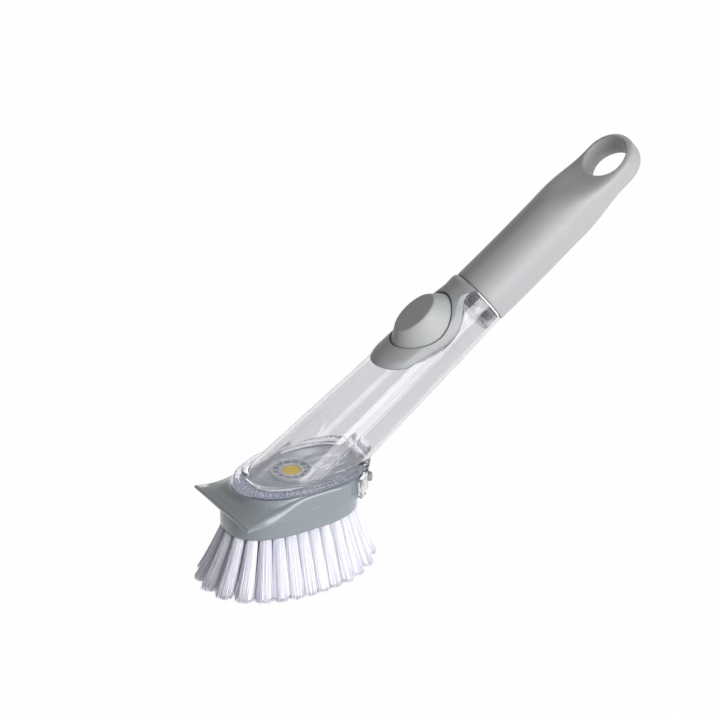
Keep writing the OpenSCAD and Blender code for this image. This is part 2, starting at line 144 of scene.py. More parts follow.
def moulded_group():
    """Node group for moulded plastic: cloudy shade, a fine spark-eroded grain and a few faint scuffs,
    all noise on object coordinates in metres."""
    g = bpy.data.node_groups.new("Moulded", "ShaderNodeTree")
    for name, kind in (("Color", "NodeSocketColor"), ("Cloud", "NodeSocketFloat"), ("Roughness", "NodeSocketFloat"),
                       ("Grain size", "NodeSocketFloat"), ("Grain", "NodeSocketFloat"), ("Scuffs", "NodeSocketFloat")):
        g.interface.new_socket(name, in_out="INPUT", socket_type=kind)
    for name, kind in (("Color", "NodeSocketColor"), ("Roughness", "NodeSocketFloat"), ("Height", "NodeSocketFloat")):
        g.interface.new_socket(name, in_out="OUTPUT", socket_type=kind)
    n, link = g.nodes, g.links.new
    into, out = n.new("NodeGroupInput"), n.new("NodeGroupOutput")
    coords = n.new("ShaderNodeTexCoord")

    def noise(scale, detail, source=None):
        tex = n.new("ShaderNodeTexNoise")
        tex.inputs["Detail"].default_value = detail
        if isinstance(scale, float):
            tex.inputs["Scale"].default_value = scale
        else:
            link(scale, tex.inputs["Scale"])
        link(source or coords.outputs["Object"], tex.inputs["Vector"])
        return tex.outputs["Fac"]

    def math_node(op, a, b, c=None):
        node = n.new("ShaderNodeMath")
        node.operation = op
        for k, v in enumerate(v for v in (a, b, c) if v is not None):
            if isinstance(v, (int, float)):
                node.inputs[k].default_value = v
            else:
                link(v, node.inputs[k])
        return node.outputs[0]

    cloud = math_node("SUBTRACT", noise(38.0, 3), 0.5)
    shade = math_node("MULTIPLY_ADD", math_node("MULTIPLY", cloud, into.outputs["Cloud"]), 1.0, 1.0)
    tint = n.new("ShaderNodeVectorMath")
    tint.operation = "SCALE"
    link(into.outputs["Color"], tint.inputs[0])
    link(shade, tint.inputs["Scale"])
    stretch = n.new("ShaderNodeMapping")
    stretch.inputs["Rotation"].default_value = (0, -TILT, 0)
    stretch.inputs["Scale"].default_value = (0.12, 1, 1)
    link(coords.outputs["Object"], stretch.inputs["Vector"])
    scuff = math_node("GREATER_THAN", noise(900.0, 1, stretch.outputs["Vector"]), 0.71)
    rough = math_node("MULTIPLY_ADD", cloud, 0.12, into.outputs["Roughness"])
    rough = math_node("MULTIPLY_ADD", math_node("MULTIPLY", scuff, into.outputs["Scuffs"]), 0.12, rough)
    grain = math_node("MULTIPLY", noise(into.outputs["Grain size"], 2), into.outputs["Grain"])
    link(tint.outputs[0], out.inputs["Color"])
    link(rough, out.inputs["Roughness"])
    link(grain, out.inputs["Height"])
    return g


MOULDED = moulded_group()


def srgb(*c):
    """Linear colour of an sRGB colour out of 255."""
    v = np.array(c) / 255
    return (*np.where(v <= 0.04045, v / 12.92, ((v + 0.055) / 1.055) ** 2.4), 1)


def plastic(name, colour, rough=0.4, cloud=0.06, size=2600.0, grain=0.5, bump=0.12, scuffs=0.5, **sockets):
    """Principled plastic over the moulded group, with further shader sockets set by name."""
    m = bpy.data.materials.new(name)
    m.use_nodes = True
    n, link = m.node_tree.nodes, m.node_tree.links.new
    shader = n["Principled BSDF"]
    g = n.new("ShaderNodeGroup")
    g.node_tree = MOULDED
    for key, v in (("Color", colour), ("Cloud", cloud), ("Roughness", rough), ("Grain size", size), ("Grain", grain),
                   ("Scuffs", scuffs)):
        g.inputs[key].default_value = v
    relief = n.new("ShaderNodeBump")
    relief.inputs["Strength"].default_value = bump
    relief.inputs["Distance"].default_value = 0.0002
    link(g.outputs["Color"], shader.inputs["Base Color"])
    link(g.outputs["Roughness"], shader.inputs["Roughness"])
    link(g.outputs["Height"], relief.inputs["Height"])
    link(relief.outputs["Normal"], shader.inputs["Normal"])
    for key, v in sockets.items():
        shader.inputs[key.replace("_", " ")].default_value = v
    return m


GREY_GRIP = plastic("satin_grey", srgb(149, 150, 152), rough=0.42, grain=0.7, Specular_IOR_Level=0.35)


def grip_mesh():
    """Shaft: circles of the grip's radius, on a middle line that rises gently towards the eye. Eye end:
    over the plan point at radius r and angle f round the eye, the height is h (1 - q^p)^(1/p), where q
    runs from 0 on the middle line to 1 on the rim. The hole's lower rim is wider and lies nearer the shaft."""
    reach = EYE_S - BLEND_S
    corner = math.pi - math.atan2(GRIP_R, reach)
    front = np.linspace(-corner, corner, 129)
    back = np.linspace(0, math.pi, 49)[1:-1]
    angles = np.concatenate([front, np.arctan2(GRIP_R * np.cos(back), -reach) % (2 * math.pi)])
    is_front = np.arange(len(angles)) < len(front)

    def rise_at(s):
        return EYE_RISE * ease((s - 130) / 100)

    def section(s):
        x = np.maximum(0, s - BLEND_S)
        t = ease(x / 35)
        return GRIP_R + (EYE_HALF - GRIP_R) * t, 2 + 2.6 * ease(x / 36), GRIP_R + (EYE_R - GRIP_R) * t, rise_at(s)

    rim = np.full(len(angles), float(EYE_R))
    for _ in range(30):
        s = EYE_S + rim * np.cos(angles)
        side = section(s)[2] / np.maximum(np.abs(np.sin(angles)), 1e-6)
        rim = np.where(np.cos(angles) >= 0, EYE_R, side)
    rim = np.where(is_front, rim, reach / np.abs(np.cos(angles)))
    rim[[0, len(front) - 1]] = math.hypot(GRIP_R, reach)

    def half(side):
        u = np.sin(np.linspace(0, math.pi / 2, 30))[1:, None]
        bore, shift = (HOLE_R, 0) if side > 0 else (UNDER_R, UNDER_SHIFT)
        bore = np.sqrt(bore ** 2 - (shift * np.sin(angles)) ** 2) - shift * np.cos(angles)
        start = bore + LIP
        r = np.concatenate([start[None], start + (rim - start) * u])
        s, y = EYE_S + r * np.cos(angles), r * np.sin(angles)
        h, p, w, rise = section(s)
        q = np.where(s > EYE_S, r / EYE_R, np.abs(y) / w)
        q = np.where(q > 1 - 1e-9, 1, q)
        z = rise + side * h * (1 - q ** p) ** (1 / p)
        turn = np.linspace(0, math.pi / 2, 7)[:-1, None]
        lip_r = bore + LIP * (1 - np.cos(turn))
        lip_z = z[0] - side * LIP * (1 - np.sin(turn))
        s = np.concatenate([EYE_S + lip_r * np.cos(angles), s])
        y = np.concatenate([lip_r * np.sin(angles), y])
        return s, y, np.concatenate([lip_z, z])

    top, under = half(1), half(-1)
    steps = np.linspace(0, 1, 6)[:, None]
    wall = [top[k][0] + (under[k][0] - top[k][0]) * steps for k in (0, 1, 2)]
    turn = np.linspace(0, 2 * math.pi, 96, endpoint=False)
    profile = np.array([(BLEND_S - 4, 0), (BLEND_S - 4, 13.5), (GRIP_S + 0.4, 13.5), (GRIP_S + 0.1, 13.7),
                        (GRIP_S, 14), (GRIP_S, 14.5), (GRIP_S + 0.12, 14.9), (GRIP_S + 0.4, 15.12),
                        (GRIP_S + 0.8, GRIP_R)] + [(s, GRIP_R) for s in np.linspace(GRIP_S + 4, BLEND_S, 9)])
    lift = rise_at(profile[:, :1])
    shaft = on_wand(profile[:, :1], profile[:, 1:] * np.cos(turn), profile[:, 1:] * np.sin(turn) + lift)
    return join_grids(grid(on_wand(*top)), grid(on_wand(*under)), grid(on_wand(*wall)), grid(shaft))


grip = piece("grip", grip_mesh(), GREY_GRIP, "grip", ["handle_grip"])


# The neck under the grip: a clear screw plug with grey thread lugs and an O-ring goes into the clear
# neck of the reservoir, and a white sealing washer sits on the neck's rim.

NECK_S = 109
MOUTH_S = 117
PLUG_R = 11
NECK_R = 12.1
LEAD = 4.5


def tube_r(s):
    """Outer radius of the reservoir, which grows evenly towards the foot."""
    return 15 + (GRIP_S - s) * 0.0385


def rounded(points, radius=0.25, steps=4, closed=True):
    """Profile with each corner replaced by a curve that starts and ends at most radius from it."""
    p = np.array(points, float)
    out = []
    for i, q in enumerate(p):
        if not closed and i in (0, len(p) - 1):
            out.append(q)
            continue
        a, b = p[i - 1] - q, p[(i + 1) % len(p)] - q
        la, lb = np.linalg.norm(a), np.linalg.norm(b)
        a, b = a / la * min(radius, la * 0.45), b / lb * min(radius, lb * 0.45)
        for t in np.linspace(0, 1, steps):
            out.append(q + a * (1 - t) ** 2 + b * t * t)
    return np.array(out)


def turned(profile, place, count=96):
    """Closed ring: the profile's (along, radius) points carried round an axis."""
    turn = np.linspace(0, 2 * math.pi, count, endpoint=False)
    along, r = profile[:, :1], profile[:, 1:]
    return grid(place(along, r * np.cos(turn), r * np.sin(turn)), loop=True)


def round_wand(s, y, h):
    return on_wand(s, y, h)


def lug(start, arc, root, crest, width, phase):
    """Thread lug: a box of the given width whose middle climbs the helix, with sloped flanks."""
    t = np.linspace(0, arc, 14)[:, None]
    angle = phase + t
    s = start + LEAD * t / (2 * math.pi)
    across = np.array([[-0.5, -0.34, 0.34, 0.5]]) * width
    r = np.array([[root, crest, crest, root]])
    swell = np.minimum(1, np.minimum(t, arc - t) / 0.08)
    r = root + (r - root) * swell
    return on_wand(s + across, r * np.cos(angle), r * np.sin(angle))


def clear(name, colour, rough=0.03, ior=1.49, share=1.0, ripple=0.05):
    """Clear plastic: full transmission, a faint cast, and slight unevenness of the moulded skin."""
    m = bpy.data.materials.new(name)
    m.use_nodes = True
    n, link = m.node_tree.nodes, m.node_tree.links.new
    shader = n["Principled BSDF"]
    shader.inputs["Base Color"].default_value = colour
    shader.inputs["Transmission Weight"].default_value = share
    shader.inputs["Roughness"].default_value = rough
    shader.inputs["IOR"].default_value = ior
    coords, tex, relief = n.new("ShaderNodeTexCoord"), n.new("ShaderNodeTexNoise"), n.new("ShaderNodeBump")
    tex.inputs["Scale"].default_value = 90
    tex.inputs["Detail"].default_value = 1
    relief.inputs["Strength"].default_value = ripple
    relief.inputs["Distance"].default_value = 0.001
    link(coords.outputs["Object"], tex.inputs["Vector"])
    link(tex.outputs["Fac"], relief.inputs["Height"])
    link(relief.outputs["Normal"], shader.inputs["Normal"])
    return m


CLEAR = clear("clear_acrylic", srgb(230, 230, 233))
GREY_NECK = plastic("neck_grey", srgb(120, 122, 124), rough=0.38)
WHITE_RUBBER = plastic("white_rubber", srgb(226, 228, 230), rough=0.5, Subsurface_Weight=0.2, Subsurface_Radius=(0.002, 0.002, 0.002))

plug_body = turned(rounded([(NECK_S + 0.6, 0.01), (NECK_S + 0.6, PLUG_R), (GRIP_S + 0.2, PLUG_R), (GRIP_S + 0.2, 13.45),
                            (GRIP_S + 11, 13.45), (GRIP_S + 11, 9.2), (NECK_S + 2, 9.2), (NECK_S + 2, 0.01)]), round_wand)
piece("neck_plug_turned", plug_body, CLEAR, "grip", ["neck_plug"])
lugs = [grid(lug(NECK_S + 4.3, 0.55, PLUG_R - 0.2, PLUG_R + 0.9, 3.6, a), wrap=True)
        for a in np.radians(np.arange(-178, 182, 60))]
lug_caps = []
count = 0
for points, _ in lugs:
    for first in (count, count + len(points) - 4):
        lug_caps.append([first, first + 1, first + 2, first + 3])
    count += len(points)
piece("thread_lugs", join_grids(*lugs), GREY_NECK, "grip", ["neck_plug"], caps=lug_caps)
collar = rounded([(MOUTH_S - 0.5, PLUG_R + 0.02), (MOUTH_S - 0.5, 11.9), (MOUTH_S + 1, 11.9), (MOUTH_S + 1, PLUG_R + 0.02)])
piece("white_collar", turned(collar, round_wand), WHITE_RUBBER, "grip", ["neck_plug"])

ring_turn = np.linspace(0, 2 * math.pi, 20, endpoint=False)
o_profile = np.stack([MOUTH_S - 1.4 + 0.8 * np.cos(ring_turn), PLUG_R + 0.35 + 0.8 * np.sin(ring_turn)], -1)
piece("o_ring", turned(o_profile, round_wand), WHITE_RUBBER, "grip", ["neck_o_ring"])
piece("washer", turned(rounded([(MOUTH_S + 0.1, 11.9), (MOUTH_S + 0.1, 14.1), (GRIP_S - 0.1, 14.1), (GRIP_S - 0.1, 11.9)]),
                       round_wand), WHITE_RUBBER, "seal_lift", ["neck_gasket"])


# The reservoir: one blow-clear moulding of acrylic with a faint lavender cast. A tapered tube
# stands on a stepped oval foot, and a short skirt hangs behind the head and takes its catches.

WALL = 1.7
FLANGE = (35.4, 21.5)
FLANGE_T = 2.5
STEP = (31, 19.2)
STEP_T = 3
WELL = (29.6, 17)
PLATE_T = 1.8
OVAL_X = 6
OVAL_POWER = 2.4
BUTTON_S = 88.4
BUTTON = (17.9, 13.2)
SKIRT_X = 25.5
SKIRT_Z = 40
SNAP_X, SNAP_Y, SNAP_Z = 28.2, 11.3, 46.2
SNAP_TURN = math.radians(31)


def oval(a, b, power=OVAL_POWER, count=160):
    """Superellipse: x and y are the half axes times the cosine and sine to the power 2 over p."""
    t = np.linspace(0, 2 * math.pi, count, endpoint=False)
    c, s = np.cos(t), np.sin(t)
    return np.stack([a * np.sign(c) * abs(c) ** (2 / power), b * np.sign(s) * abs(s) ** (2 / power)], -1)


def inset(plan, depth):
    """A closed outline moved inwards along its own normals."""
    step = np.roll(plan, -1, 0) - np.roll(plan, 1, 0)
    normal = np.stack([step[:, 1], -step[:, 0]], -1)
    return plan - depth * normal / np.linalg.norm(normal, axis=1, keepdims=True)


def prism(plan, z0, z1, place, low=0.0, high=0.0):
    """Plan raised from z0 to z1, its lower and upper edges rounded by these radii, both ends closed."""
    turn = np.linspace(0, math.pi / 2, 5)
    rings = [(low * (1 - math.sin(t)), z0 + low * (1 - math.cos(t))) for t in (turn if low else turn[-1:])]
    rings += [(high * (1 - math.cos(t)), z1 - high * (1 - math.sin(t))) for t in (turn if high else turn[:1])]
    loops = [inset(plan, d) if d > 1e-9 else plan for d, _ in rings]
    points = np.array([place(l[:, 0], l[:, 1], z) for l, (_, z) in zip(loops, rings)])
    k = len(plan)
    mesh = grid(points)
    return mesh, [list(range(k)), list(range(len(mesh[0]) - k, len(mesh[0])))]


def solid(mesh, caps=()):
    """A throwaway object for cutting or joining."""
    return piece("tool", mesh, CLEAR, None, caps=caps)


def combine(obj, tool, operation):
    """Boolean of two closed objects, applied to the first; the tool is deleted."""
    mod = obj.modifiers.new("cut", "BOOLEAN")
    mod.operation = operation
    mod.object = tool
    mod.solver = "MANIFOLD"
    bpy.context.view_layer.update()
    done = bpy.data.meshes.new_from_object(obj.evaluated_get(bpy.context.evaluated_depsgraph_get()))
    obj.modifiers.clear()
    obj.data = done
    bpy.data.objects.remove(tool)
    return obj


def finish_cut(obj, sharp=32):
    """Merges what a cut left doubled, and keeps edges over the angle crisp."""
    bm = bmesh.new()
    bm.from_mesh(obj.data)
    bmesh.ops.remove_doubles(bm, verts=bm.verts, dist=1e-6)
    bmesh.ops.dissolve_limit(bm, angle_limit=math.radians(0.5), verts=bm.verts, edges=bm.edges)
    bm.to_mesh(obj.data)
    bm.free()
    obj.data.shade_smooth()
    obj.data.set_sharp_from_angle(angle=math.radians(sharp))
    return obj


def cone_solid(grow, s0, s1):
    """The reservoir's cone, grown or shrunk, between two places along the wand."""
    k = 192
    turn = np.linspace(0, 2 * math.pi, k, endpoint=False)
    s = np.linspace(s0, s1, 9)[:, None]
    r = tube_r(s) + grow
    return grid(on_wand(s, r * np.cos(turn), r * np.sin(turn))), [list(range(k)), list(range(8 * k, 9 * k))]


def block(x0, x1, y0, y1, z0, z1, place=on_head):
    """A box given by its limits."""
    return prism(np.array([(x0, y0), (x1, y0), (x1, y1), (x0, y1)], float), z0, z1, place)


def at_foot(x, y, z):
    return on_head(np.asarray(x) + OVAL_X, y, z)


def snap_frame(side):
    """Places points in a catch's own frame: x outwards from the head's rear corner."""
    c, s = math.cos(SNAP_TURN), math.sin(SNAP_TURN) * side

    def place(x, y, z):
        x, y = np.asarray(x, float), np.asarray(y, float)
        return on_head(SNAP_X + x * c - y * s, side * SNAP_Y + x * s + y * c, SNAP_Z + np.asarray(z, float))

    return place


FLANK_X = 12
FLANK_W = 22.9
WAIST_X = -14
REAR_X = 34.8
SCRAPER_X = 39.7
SCRAPER_W = 25.4


def head_outline(fine):
    """Plan of the head: straight flanks that flare to the scraper's corners by a square law, a
    superelliptic rear of power 2.3, and a straight scraper edge. Runs anticlockwise."""
    x = -SCRAPER_X + (FLANK_X + SCRAPER_X) * np.arange(fine) / fine
    w = np.where(x > WAIST_X, FLANK_W, FLANK_W + (SCRAPER_W - FLANK_W) * (np.maximum(0, WAIST_X - x) / (WAIST_X + SCRAPER_X)) ** 2)
    t = np.linspace(-math.pi / 2, math.pi / 2, 2 * fine + 1)
    rear = np.stack([FLANK_X + (REAR_X - FLANK_X) * np.cos(t) ** (2 / 2.3), FLANK_W * np.sign(t) * abs(np.sin(t)) ** (2 / 2.3)], -1)
    edge = np.linspace(SCRAPER_W, -SCRAPER_W, fine)[:-1]
    return np.concatenate([np.stack([x, -w], -1), rear, np.stack([x, w], -1)[::-1], np.stack([np.full(fine - 1, -SCRAPER_X), edge], -1)[1:]])


def reservoir():
    outer = solid(*cone_solid(0, -40, MOUTH_S))
    combine(outer, solid(*prism(oval(*STEP), HEAD_TOP, HEAD_TOP + FLANGE_T + STEP_T, at_foot, high=0.8)), "UNION")
    combine(outer, solid(*block(-90, 200, -90, 90, -90, HEAD_TOP)), "DIFFERENCE")
    combine(outer, solid(*prism(oval(*FLANGE), HEAD_TOP, HEAD_TOP + FLANGE_T, at_foot, 0.3, 0.9)), "UNION")
    rear = head_outline(24)
    skirt = solid(*prism(inset(rear, -3.6), SKIRT_Z, HEAD_TOP + 1, on_head, 0.8))
    combine(skirt, solid(*prism(inset(rear, -1), SKIRT_Z - 5, HEAD_TOP + 5, on_head)), "DIFFERENCE")
    combine(skirt, solid(*block(-90, SKIRT_X, -90, 90, 0, 90)), "DIFFERENCE")
    combine(outer, skirt, "UNION")
    hollow = solid(*cone_solid(-WALL, -40, MOUTH_S + 2))
    well = solid(*prism(oval(*WELL), HEAD_TOP + PLATE_T, HEAD_TOP + 7, at_foot, 0.6))
    combine(well, solid(*block(-90, 200, -90, 90, HEAD_TOP + FLANGE_T + STEP_T, 300)), "UNION")
    combine(hollow, well, "INTERSECT")
    combine(outer, hollow, "DIFFERENCE")
    combine(outer, solid(*prism(oval(WELL[0] - 1, WELL[1] - 1), HEAD_TOP - 1, HEAD_TOP + PLATE_T + 0.1, at_foot)), "DIFFERENCE")

    def over_button(x, y, z):
        return on_wand(np.asarray(x) + BUTTON_S, y, z)

    opening = oval(BUTTON[0] + 2.1, BUTTON[1] + 1.1, 2)
    combine(outer, solid(*prism(opening, 4.4, 40, over_button)), "DIFFERENCE")
    for side in (-1, 1):
        combine(outer, solid(*block(0, 20, -2.7, 2.7, -40, 2.7, snap_frame(side))), "DIFFERENCE")
    return outer


STIPPLED = plastic("stippled", srgb(190, 192, 214), rough=0.25, size=900.0, grain=1.0, bump=1.0, scuffs=0.0)
stipple_nodes, stipple_link = STIPPLED.node_tree.nodes, STIPPLED.node_tree.links.new
spots = stipple_nodes.new("ShaderNodeTexNoise")
spots.inputs["Scale"].default_value = 1100
stipple_link(stipple_nodes.new("ShaderNodeTexCoord").outputs["Object"], spots.inputs["Vector"])
tones = stipple_nodes.new("ShaderNodeValToRGB")
for tone, (place, colour) in zip(tones.color_ramp.elements, ((0.38, srgb(146, 149, 176)), (0.62, srgb(230, 231, 243)))):
    tone.position = place
    tone.color = colour
stipple_link(spots.outputs["Fac"], tones.inputs["Fac"])
stipple_link(tones.outputs["Color"], stipple_nodes["Principled BSDF"].inputs["Base Color"])
tube = finish_cut(reservoir())
tube.name = "reservoir"
tube.data.materials.append(STIPPLED)
for face in tube.data.polygons:
    if abs(face.center.z / MM - HEAD_TOP) < 0.02 and face.normal.z < -0.9:
        face.material_index = 1
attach(tube, "reservoir")
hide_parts("reservoir_tube")

neck_profile = rounded([(NECK_S, tube_r(NECK_S) - WALL - 0.03), (MOUTH_S, tube_r(MOUTH_S) - WALL - 0.03),
                        (MOUTH_S, 12.4), (MOUTH_S - 2.4, 12.4), (MOUTH_S - 2.4, NECK_R), (NECK_S, NECK_R)], 0.2)
piece("clear_neck", turned(neck_profile, round_wand), CLEAR, "reservoir", ["filler_neck"])


# The foot's floor: a clear plate welded into the flange, a textured grey ring with twelve radial ribs and
# four straight ones, and a yellow silicone valve held down by a snap ring. Soap leaves through the valve's slit.


def over_valve(z, y, x):
    return on_head(x, y, HEAD_TOP + z)


FROSTED = clear("frosted_floor", srgb(205, 208, 217), rough=0.2, share=0.3, ripple=0.6)
RING_GREY = plastic("ring_grey", srgb(215, 217, 222), rough=0.5, size=1500.0, grain=1.0, bump=0.5)
YELLOW = plastic("yellow_silicone", srgb(240, 208, 14), rough=0.42, Subsurface_Weight=0.15, Subsurface_Radius=(0.002, 0.0015, 0.0005))
plate = solid(*prism(oval(WELL[0] - 1.1, WELL[1] - 1.1), HEAD_TOP + 0.02, HEAD_TOP + PLATE_T - 0.02, at_foot, 0.1, 0.1))
combine(plate, solid(*prism(oval(6, 6, 2), HEAD_TOP + 1, HEAD_TOP + 3, on_head)), "DIFFERENCE")
combine(plate, solid(*prism(oval(4, 4, 2), HEAD_TOP - 1, HEAD_TOP + 3, on_head)), "DIFFERENCE")
plate = finish_cut(plate)
plate.name = "floor_plate"
plate.data.materials[0] = FROSTED
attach(plate, "reservoir")
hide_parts("base_plate")

ring = turned(rounded([(1.82, 9.3), (1.82, 10.5), (3.42, 10.5), (3.42, 9.3)]), over_valve)
ribs = []
for turn in np.radians(np.arange(0, 360, 30)):
    def rib_place(x, y, z, c=math.cos(turn), s=math.sin(turn)):
        return on_head(np.asarray(x) * c - np.asarray(y) * s, np.asarray(x) * s + np.asarray(y) * c, z)

    ribs.append(block(6.4, 9.8, -0.35, 0.35, HEAD_TOP + 1.82, HEAD_TOP + 2.72, rib_place))
for y in (-7.5, -2.5, 2.5, 7.5):
    ribs.append(block(11.5, 29 - abs(y) / 2, y - 0.4, y + 0.4, HEAD_TOP + 1.82, HEAD_TOP + 2.5, on_head))
rib_caps = []
count = len(ring[0])
for (points, _), ends in ribs:
    rib_caps += [[count + i for i in end] for end in ends]
    count += len(points)
piece("ribbed_ring", join_grids(ring, *(r for r, _ in ribs)), RING_GREY, "reservoir", ["valve_cage"], caps=rib_caps)
piece("snap_ring", turned(rounded([(1.82, 4.75), (1.82, 6.3), (2.72, 6.3), (2.72, 4.75)]), over_valve), RING_GREY,
      "reservoir", ["valve_ring"])
disc = rounded([(0.15, 0.05), (0.15, 2.6), (1.05, 3.7), (1.05, 5.85), (1.75, 5.85), (1.75, 4.6), (2.2, 4.6), (2.05, 0.05)], 0.2)
piece("valve_disc", turned(disc, over_valve), YELLOW, "reservoir", ["slit_valve"])


# The bezel: a grey teardrop moulding snapped over the reservoir. It has a soft outer band that
# runs down to the tube, an oval hole for the button, and a neck up to the grip.

BEZEL_T = 1.3
BAND = 2.0


def circle(centre, radius, count=96):
    t = np.linspace(0, 2 * math.pi, count, endpoint=False)
    return np.stack([centre + radius * np.cos(t), radius * np.sin(t)], -1)


def bezel_edge():
    """Half width of the bezel at each place along the wand: a round lower end, a straight swell to the
    widest circle, a soft waist and a neck that flares at the grip."""
    s = np.array([70.4 - 13.2 * math.cos(t) for t in np.linspace(0, math.pi / 2, 16)] +
                 list(np.linspace(71, 117.6, 96)))
    low = np.sqrt(np.maximum(0, 13.2 ** 2 - (s - 70.4) ** 2))
    swell = np.interp(s, [70.4, 75, 80, 85, 90, 94, 97, 99, 101, 103, 105, 107, 109, 111, 113, 115, 116.2, 117, 117.6],
                      [13.2, 13.7, 14.2, 14.6, 14.8, 14.7, 14.4, 14.0, 13.5, 12.7, 11.6, 10.2, 8.9, 8.0, 7.6, 7.6, 8.0, 8.8, 9.5])
    y = np.where(s <= 70.4, low, swell)
    for _ in range(8):
        inner = (y[:-2] + 2 * y[1:-1] + y[2:]) / 4
        y[17:-1] = inner[16:]
    edge = np.stack([s, y], -1)
    end = np.stack([np.full(9, s[-1]), np.linspace(y[-1], -y[-1], 11)[1:-1]], -1)
    return np.concatenate([edge, end, (edge * [1, -1])[::-1][:-1]])


def bezel_mesh():
    """From the outline in to the hole: a low edge, a band that slopes up by half a millimetre, a level
    top as far as the hole, and a rounded turn down inside it."""
    edge = bezel_edge()[::-1]
    angle = np.arctan2(edge[:, 1] / BUTTON[1], (edge[:, 0] - BUTTON_S) / BUTTON[0])
    hole = np.stack([BUTTON_S + (BUTTON[0] + 0.4) * np.cos(angle), (BUTTON[1] + 0.4) * np.sin(angle)], -1)
    gap = np.linalg.norm(edge - hole, axis=1, keepdims=True)
    inward = (hole - edge) / gap
    reach = np.minimum(BAND, gap * 0.8)
    rings, lift = [], []
    for k, height in ((0, 0.15), (0.03, 0.36), (0.1, 0.5), (0.2, 0.58), (0.5, 0.84), (0.8, 1.1), (0.92, 1.21), (1, 1.27)):
        rings.append(edge + inward * reach * k)
        lift.append(height)
    for k in (0.2, 0.45, 0.7, 0.92):
        rings.append(edge + inward * (reach + (gap - reach - 0.3) * k))
        lift.append(BEZEL_T)
    for away, drop in ((0.3, 0), (0.12, 0.08), (0.03, 0.2), (0, 0.4), (0, 2.5)):
        rings.append(hole - inward * away)
        lift.append(BEZEL_T - drop)
    rings.append(edge + inward * 0.4)
    lift.append(-0.6)
    rings.append(edge)
    lift.append(-0.3)
    s, y = np.array(rings)[..., 0], np.array(rings)[..., 1]
    r = tube_r(s) + np.array(lift)[:, None]
    return grid(on_wand(s, y, np.sqrt(np.maximum(1, r * r - y * y))), loop=True)


BEZEL_GREY = plastic("bezel_grey", srgb(140, 142, 144), rough=0.42, Specular_IOR_Level=0.4)
piece("bezel", bezel_mesh(), BEZEL_GREY, "reservoir", ["button_bezel"])


# The button: a satin grey cap, oval in plan and tapered, with a flat top and a small radius round
# it. Its lower edge follows the tube, and it sinks into the bezel when it is pressed.

BUTTON_TOP = 22.4
BUTTON_WALL = 1.5


def button_mesh():
    """Rings of ellipses: the side is a straight taper from the base to the top, whose edge is a curve
    of 1.1 mm, and the wall is followed back down inside."""
    a0, b0 = BUTTON
    taper = np.linspace(0, 1, 12)
    top = (13.1, 8.1)
    t = np.linspace(0, 2 * math.pi, 160, endpoint=False)

    def ring(a, b, z=None, gap=0.25):
        s, y = BUTTON_S + a * np.cos(t), b * np.sin(t)
        low = np.sqrt((tube_r(s) + gap) ** 2 - y * y)
        return s, y, low, low if z is None else np.full(160, z)

    rings = []
    for k in taper:
        s, y, low, _ = ring(a0 + (top[0] - a0) * k, b0 + (top[1] - b0) * k)
        base = ring(a0, b0)[2]
        rings.append(on_wand(s, y, base + (BUTTON_TOP - 0.9 - base) * k))
    for turn in np.linspace(0, math.pi / 2, 7)[1:]:
        d = 1.0 * (1 - math.cos(turn))
        s, y, _, h = ring(top[0] - 0.25 - d, top[1] - 0.2 - d, BUTTON_TOP - 0.9 + 0.9 * math.sin(turn))
        rings.append(on_wand(s, y, h))
    for k in (0.8, 0.5, 0.2, 0.001):
        s, y, _, h = ring((top[0] - 1.25) * k, (top[1] - 1.2) * k, BUTTON_TOP)
        rings.append(on_wand(s, y, h))
    for k in (0.001, 1):
        s, y, _, h = ring(11 * k, 6.2 * k, BUTTON_TOP - BUTTON_WALL)
        rings.append(on_wand(s, y, h))
    s, y, _, h = ring(a0 - BUTTON_WALL, b0 - BUTTON_WALL)
    rings.append(on_wand(s, y, h))
    return grid(np.array(rings), loop=True)


BUTTON_GREY = plastic("button_grey", srgb(144, 146, 147), rough=0.42, Specular_IOR_Level=0.4)
piece("button", button_mesh(), BUTTON_GREY, "button", ["button_cap"])


# The pump under the button: a grey tray set in the tube, a rubber bellows with its clamp ring, a
# wire return spring and a mushroom air valve. It shows dimly through the clear tube.

TRAY_FLOOR = 5.6
TRAY_Z = 4.6


def over_tray(h, y, x):
    return on_wand(BUTTON_S + np.asarray(x), y, h)


def tray_mesh():
    """Oval cup: its outer wall, the rim cut by the tube's cone, the inner wall and the floor, as
    one closed profile carried round the oval."""
    t = np.linspace(0, 2 * math.pi, 128, endpoint=False)
    a, b = BUTTON[0] + 2, BUTTON[1] + 1

    def ring(grow, h=None):
        s, y = BUTTON_S + (a + grow) * np.cos(t), (b + grow) * np.sin(t)
        return on_wand(s, y, np.sqrt((tube_r(s) - 0.02) ** 2 - y * y) if h is None else h)

    def disc_ring(k, h):
        return on_wand(BUTTON_S + (a - 1) * k * np.cos(t), (b - 1) * k * np.sin(t), h)

    return grid(np.array([disc_ring(0.001, TRAY_Z), disc_ring(0.5, TRAY_Z), ring(-0.4, TRAY_Z), ring(0, TRAY_Z + 0.4), ring(0),
                          ring(-0.8), ring(-0.8, TRAY_FLOOR), disc_ring(0.5, TRAY_FLOOR), disc_ring(0.001, TRAY_FLOOR)]), loop=True)


TRAY_GREY = plastic("tray_grey", srgb(128, 131, 131), rough=0.5)
piece("tray", tray_mesh(), TRAY_GREY, "reservoir", ["pump_tray"])

